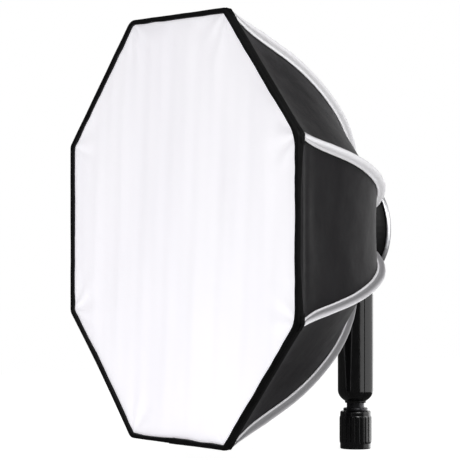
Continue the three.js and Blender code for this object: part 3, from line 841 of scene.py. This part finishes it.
ap = R - BIND_T + 1.5
for k in RIBS:
    a = phi(k)
    part = Parts()
    for side in (1, -1):
        p = np.linspace(0, 1, 58) ** 0.85
        q = np.linspace(0, 1, 25)
        corner, midp = np.array([ap / COS, 0.0]), np.array([ap * COS, side * ap * SIN])
        edge = corner[None, :] * (1 - q[:, None]) + midp[None, :] * q[:, None]
        rt = p[:, None, None] * edge[None, :, :]
        r, t = rt[..., 0], rt[..., 1]
        W = to_world(r, 0 * r, t, a)
        x, z = W[..., 0], W[..., 2]
        bow = rim_bow(x, z) * np.clip(np.hypot(x, z - AX) / R, 0, 1) ** 4
        rad = np.stack([x, 0 * x, z - AX], -1)
        rad /= np.maximum(np.linalg.norm(rad, axis=-1, keepdims=True), 1e-6)
        W = W - rad * bow[..., None]
        e = 0.5
        d = relief(x, z)
        gx = (relief(x + e, z) - relief(x - e, z)) / (2 * e)
        gz = (relief(x, z + e) - relief(x, z - e)) / (2 * e)
        W[..., 1] = FY + RECESS + 0.4 + d
        N = np.stack([gx, -np.ones_like(gx), gz], -1)
        N /= np.linalg.norm(N, axis=-1, keepdims=True)
        uv = np.stack([x * MM, z * MM], -1)
        part.sheet(W, N, 0.6, (0, 0), uv)
    o = part.make(f"diffuser_cloth_{k}", [DIFFUSER])
    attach(o, f"diffuser_{k}")
    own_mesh(o)
    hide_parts(f"diffuser_sector_{k}")
    area = sum(f.area for f in o.data.polygons) / 2
    width, length = 2 * ap * SIN * MM, ap / COS * MM
    min(area, width * length)


# ---------------------------------------------------------------- grip
GX, GY, GC, GB, GT = 18.4, 20.5, 12.0, 56.7, 193.0


def grip_outline(inset, n=144):
    """A soft-cornered rectangle with slightly crowned faces, for the whole grip."""
    a, b, e = GX - inset, GY - inset, 3.1 - 0.08 * inset
    out = []
    for i in range(n):
        q = 2 * math.pi * i / n
        ux, uy = math.cos(q), math.sin(q)
        m = (abs(ux / a) ** e + abs(uy / b) ** e) ** (-1 / e)
        out.append((ux * m, uy * m))
    return np.array(out)


def grip_half(sign, name, node):
    levels = [(0.0, 8.0), (0.25, 7.4), (2.0, 7.3)]
    for h in (2.6, 3.0, 3.6, 4.4, 5.4, 6.6, 8.0, 9.6, 11.4, 13.2, 15, 16):
        levels.append((h, min(7.2, 16 - math.sqrt(256 - (16 - h) ** 2))))
    for h in np.linspace(18, GT - GB - 2.4, 30):
        levels.append((float(h), 0.0))
    levels += [(GT - GB - 1.2, 0.25), (GT - GB - 0.4, 0.8), (GT - GB, 1.6)]
    rings = []
    for h, inset in levels:
        ol = grip_outline(inset)
        n = len(ol)
        idx = range(0, n // 2 + 1) if sign > 0 else range(n // 2, n + 1)
        arc = np.array([ol[i % n] for i in idx])
        arc[0, 1], arc[-1, 1] = sign * 0.12, sign * 0.12
        # a small round-over down to the mould seam
        e0, e1 = arc[0].copy(), arc[-1].copy()
        s0, s1 = np.sign(e0[0]), np.sign(e1[0])
        start = np.array([[e0[0] - s0 * 0.9, sign * 0.10], [e0[0] - s0 * 0.45, sign * 0.14], [e0[0] - s0 * 0.12, sign * 0.32]])
        end = np.array([[e1[0] - s1 * 0.12, sign * 0.32], [e1[0] - s1 * 0.45, sign * 0.14], [e1[0] - s1 * 0.9, sign * 0.10]])
        body = arc[1:-1]
        ring = np.concatenate([start, body, end])
        rings.append(np.concatenate([ring, np.full((len(ring), 1), GB + h)], 1))
    P = np.array(rings)
    part = Parts()
    part.tube(P, 0, True)
    o = part.make(name, [GRIP])
    return o


def cut(obj, cutters):
    """Subtracts closed cutters and keeps the result as obj's own mesh."""
    for c in cutters:
        mod = obj.modifiers.new("cut", "BOOLEAN")
        mod.operation, mod.solver, mod.object = "DIFFERENCE", "EXACT", c
    bpy.context.view_layer.update()
    dg = bpy.context.evaluated_depsgraph_get()
    me = bpy.data.meshes.new_from_object(obj.evaluated_get(dg))
    obj.modifiers.clear()
    obj.data = me
    for c in cutters:
        bpy.data.objects.remove(c)
    return obj


def rod_y(r, y0, y1, x, z, n=40):
    q = np.linspace(0, 2 * math.pi, n, endpoint=False)
    P = np.array([[(x + r * math.cos(b), y, z + r * math.sin(b)) for b in q] for y in (y0, y1)])
    p = Parts()
    p.tube(P)
    return p.make("cutter", [GRIP])


front = grip_half(-1, "grip_cover_front", "grip_front_shell")
rear = grip_half(1, "grip_cover_rear", "grip_rear_shell")
rear = cut(rear, [rod_y(4.2, 16.4, 30, 0, z) for z in (108, 172)])
for o, node in ((front, "grip_front_shell"), (rear, "grip_rear_shell")):
    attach(o, "grip")
    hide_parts(node)


# ---------------------------------------------------------------- turned pieces
def turned(name, profile, mats, segments=96, centre=(0, 0, 0), axis="Z", radius_fn=None, soft=0.35):
    """A ring or knob turned from a closed profile of (radius, height), each corner rounded a little."""
    pts = []
    prof = [np.array(p, float) for p in profile]
    n = len(prof)
    for i in range(n):
        a, b, c = prof[i - 1], prof[i], prof[(i + 1) % n]
        la, lc = np.linalg.norm(a - b), np.linalg.norm(c - b)
        d = min(soft, la * 0.4, lc * 0.4)
        p, q = b + (a - b) / la * d, b + (c - b) / lc * d
        for f in (0, 0.5, 1):
            pts.append((1 - f) ** 2 * p + 2 * f * (1 - f) * b + f * f * q)
    pts = np.array(pts)
    ang = np.linspace(0, 2 * math.pi, segments, endpoint=False)
    verts = []
    for q in ang:
        for r, h in pts:
            rr = r if radius_fn is None else radius_fn(r, h, q)
            if axis == "Z":
                verts.append((centre[0] + rr * math.cos(q), centre[1] + rr * math.sin(q), centre[2] + h))
            else:
                verts.append((centre[0] + rr * math.cos(q), centre[1] + h, centre[2] + rr * math.sin(q)))
    m = len(pts)
    idx = np.arange(segments * m).reshape(segments, m)
    faces = []
    for i in range(segments):
        for j in range(m):
            faces.append([idx[i, j], idx[(i + 1) % segments, j], idx[(i + 1) % segments, (j + 1) % m], idx[i, (j + 1) % m]])
    verts = np.array(verts)
    # outward faces
    f0 = np.array(faces)
    vol = 0.0
    for tri in ((0, 1, 2), (0, 2, 3)):
        A, B, C = verts[f0[:, tri[0]]], verts[f0[:, tri[1]]], verts[f0[:, tri[2]]]
        vol += np.einsum("ij,ij->i", A, np.cross(B, C)).sum()
    if vol < 0:
        faces = [f[::-1] for f in faces]
    o = build(name, verts, faces, mats)
    o.data.set_sharp_from_angle(angle=math.radians(50))
    return o


FLUTES = 20


def knob_radius(r, h, q):
    if r < 15 or h < 7.2 or h > 40.5:
        return r
    edge = min(1.0, (h - 7.2) / 1.6, (40.5 - h) / 1.6)
    g = abs(math.sin(q * FLUTES / 2))
    return r - 1.15 * (1 - min(1.0, g * 1.9)) ** 1.2 * max(0.0, edge)


prof = [(9.0, 0.0), (18.6, 0.0), (19.2, 0.9), (19.2, 6.6), (19.55, 7.2), (20.0, 8.8), (20.1, 14), (20.1, 20), (20.1, 26), (20.1, 34), (20.0, 38.9), (19.5, 40.5),
        (19.2, 41.2), (19.2, 45.3), (18.1, 46.8), (11.5, 46.8), (11.5, 3.2), (9.0, 3.2)]
knob = turned("lock_knob_body", prof, [KNOB], segments=FLUTES * 14, radius_fn=knob_radius, soft=0.5)
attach(knob, "lock_knob")
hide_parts("lock_knob")
washer = turned("thrust_collar", [(11.3, 47.1), (14.8, 47.1), (15.2, 47.6), (15.2, 50.0), (14.8, 50.5), (11.3, 50.5)], [DARK], 72)
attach(washer, "grip")
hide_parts("thrust_washer")
flange = turned("hub_rim", [(44.0, 5.3), (60.4, 5.3), (60.8, 4.9), (60.9, 2.9), (61.4, 2.4), (62.3, 2.9), (62.8, 4.1), (62.8, 6.9), (62.3, 8.3), (61.5, 9.0), (57.4, 9.0), (56.9, 8.5), (56.4, 9.0), (44.8, 9.0), (44.0, 8.4)], [RIM], 128, (0, 0, AX), "Y", soft=0.3)
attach(flange, "head")
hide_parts("hub_rear_flange")

# ---------------------------------------------------------------- carried-over nodes
for n in ("collet_tube", "tilt_yoke"):
    paint(n, DARK, 0.4)
for n in ("tilt_pivot_bolt", "grip_screw_1", "grip_screw_2", "hub_screw_1", "hub_screw_2", "hub_screw_3", "hub_screw_4"):
    paint(n, STEEL, 0.25)
paint("rib_pivot_wire", STEEL)
paint("tilt_lever", KNOB, 0.9)
paint("hub_front_ring", HUB, 0.35)
paint("hub_rear_ring", HUB, 0.35, 50)
paint("slider_ring", PLASTIC, 0.35)
for k in RIBS:
    paint(f"rib_knuckle_{k}", PLASTIC, 0.3, 50)


# ---------------------------------------------------------------- stage, lights, camera
def plane(name, pts, material):
    me = bpy.data.meshes.new(name)
    me.from_pydata(pts, [], [list(range(len(pts)))])
    me.materials.append(material)
    o = bpy.data.objects.new(name, me)
    bpy.context.scene.collection.objects.link(o)
    return o


floor_mat = Mat("floor_white")
floor_mat.set(Emission_Strength=0.94, Specular_IOR_Level=0.1)
floor_mat.b.inputs["Emission Color"].default_value = (1, 1, 1, 1)
floor_mat.color(floor_mat.ramp(floor_mat.noise(2, 2), [(0.3, (0.42, 0.42, 0.42)), (0.7, (0.45, 0.45, 0.45))]))
floor_mat.b.inputs["Roughness"].default_value = 0.9
ground = plane("floor", [(-1.6, -1.6, -0.001), (1.6, -1.6, -0.001), (1.6, 1.6, -0.001), (-1.6, 1.6, -0.001)], floor_mat.m)

ground.visible_glossy = False

world = bpy.data.worlds.new("studio")
bpy.context.scene.world = world
world.use_nodes = True
wt = world.node_tree
wt.nodes.clear()
w_out = wt.nodes.new("ShaderNodeOutputWorld")
w_seen = wt.nodes.new("ShaderNodeBackground")
w_seen.inputs[0].default_value = (1, 1, 1, 1)
w_seen.inputs[1].default_value = 1.0
w_light = wt.nodes.new("ShaderNodeBackground")
w_path = wt.nodes.new("ShaderNodeLightPath")
w_mix = wt.nodes.new("ShaderNodeMixShader")
w_dir = wt.nodes.new("ShaderNodeTexCoord")
w_dot = wt.nodes.new("ShaderNodeVectorMath")
w_dot.operation = "DOT_PRODUCT"
glow = Vector((-0.66, 0.75, 0.0)).normalized()
w_dot.inputs[1].default_value = glow
w_ramp = wt.nodes.new("ShaderNodeMapRange")
w_ramp.interpolation_type = "SMOOTHSTEP"
for i, v in ((1, 0.74), (2, 0.98), (3, 0.0), (4, 1.3)):
    w_ramp.inputs[i].default_value = v
wt.links.new(w_dir.outputs["Generated"], w_dot.inputs[0])
wt.links.new(w_dot.outputs["Value"], w_ramp.inputs[0])
w_sep = wt.nodes.new("ShaderNodeSeparateXYZ")
w_abs = wt.nodes.new("ShaderNodeMath")
w_abs.operation = "ABSOLUTE"
w_high = wt.nodes.new("ShaderNodeMapRange")
w_high.interpolation_type = "SMOOTHSTEP"
for i, v in ((1, 0.10), (2, 0.42), (3, 1.0), (4, 0.10)):
    w_high.inputs[i].default_value = v
w_mul = wt.nodes.new("ShaderNodeMath")
w_mul.operation = "MULTIPLY"
w_base = wt.nodes.new("ShaderNodeMath")
w_base.operation = "ADD"
w_base.inputs[1].default_value = 0.08
wt.links.new(w_dir.outputs["Generated"], w_sep.inputs[0])
wt.links.new(w_sep.outputs[2], w_abs.inputs[0])
wt.links.new(w_abs.outputs[0], w_high.inputs[0])
wt.links.new(w_ramp.outputs[0], w_mul.inputs[0])
wt.links.new(w_high.outputs[0], w_mul.inputs[1])
wt.links.new(w_mul.outputs[0], w_base.inputs[0])
wt.links.new(w_base.outputs[0], w_light.inputs[1])
wt.links.new(w_path.outputs["Is Camera Ray"], w_mix.inputs[0])
wt.links.new(w_light.outputs[0], w_mix.inputs[1])
wt.links.new(w_seen.outputs[0], w_mix.inputs[2])
wt.links.new(w_mix.outputs[0], w_out.inputs[0])

TH = math.radians(58.2694)
DIST = 11.3305 * R * MM
target = Vector((0, FY * MM, AX * MM))


def area(name, loc, size, power, aim, sy=None, color=(1, 1, 1)):
    d = bpy.data.lights.new(name, "AREA")
    d.energy, d.size, d.color = power, size, color
    if sy:
        d.shape, d.size_y = "RECTANGLE", sy
    o = bpy.data.objects.new(name, d)
    bpy.context.scene.collection.objects.link(o)
    o.location = loc
    o.rotation_mode = "QUATERNION"
    o.rotation_quaternion = (Vector(aim) - Vector(loc)).to_track_quat("-Z", "Y")
    return o
    return o


area("key_front_left", (-0.9, -2.4, 1.6), 1.6, 14, (0, -0.2, 0.27))
area("right_high", (1.7, -0.3, 1.9), 1.2, 38, (0.1, -0.1, 0.3))
area("rear_soft", (1.6, 1.9, 1.3), 1.3, 12, (0, 0, 0.3))
strips = []
for name, az, wide, power in (("strip_right", 50, 1.1, 4.6), ("strip_back", 97, 1.0, 8.0)):
    q = math.radians(az)
    strips.append(area(name, (1.3 * math.cos(q), 1.3 * math.sin(q), 0.24), wide, power, (0, 0, 0.15), sy=1.1))
rim_lit = bpy.data.collections.new("rim_lit")
rim_lit.objects.link(flange)
rim_strip = area("strip_rim", (1.2, 0.55, 0.27), 1.3, 10, (0, 0, 0.27), sy=1.2)
rim_strip.visible_camera = False
rim_strip.light_linking.receiver_collection = rim_lit
lit = bpy.data.collections.new("grip_lit")
for o in (front, rear, knob, washer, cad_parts["tilt_lever"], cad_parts["collet_tube"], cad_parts["tilt_yoke"]):
    lit.objects.link(o)
for o in strips:
    o.visible_camera = False
    o.light_linking.receiver_collection = lit

cam = bpy.data.cameras.new("camera")
cam_obj = bpy.data.objects.new("camera", cam)
bpy.context.scene.collection.objects.link(cam_obj)
view_dir = Vector((-math.sin(TH), math.cos(TH), 0))
right = Vector((math.cos(TH), math.sin(TH), 0))
turn = math.atan(54.857 / 2431.816)
drop = math.atan(0.897 / 2431.816)
aim = view_dir * math.cos(turn) + right * math.sin(turn)
aim.z = -math.tan(drop)
cam_obj.location = target - view_dir * DIST
cam_obj.rotation_mode = "QUATERNION"
cam_obj.rotation_quaternion = aim.to_track_quat("-Z", "Y")
cam.sensor_width = 36
cam.lens = 36 * 2431.816 / 460
cam.clip_start, cam.clip_end = 0.05, 100
bpy.context.scene.camera = cam_obj
bpy.context.scene.view_settings.view_transform = "Standard"
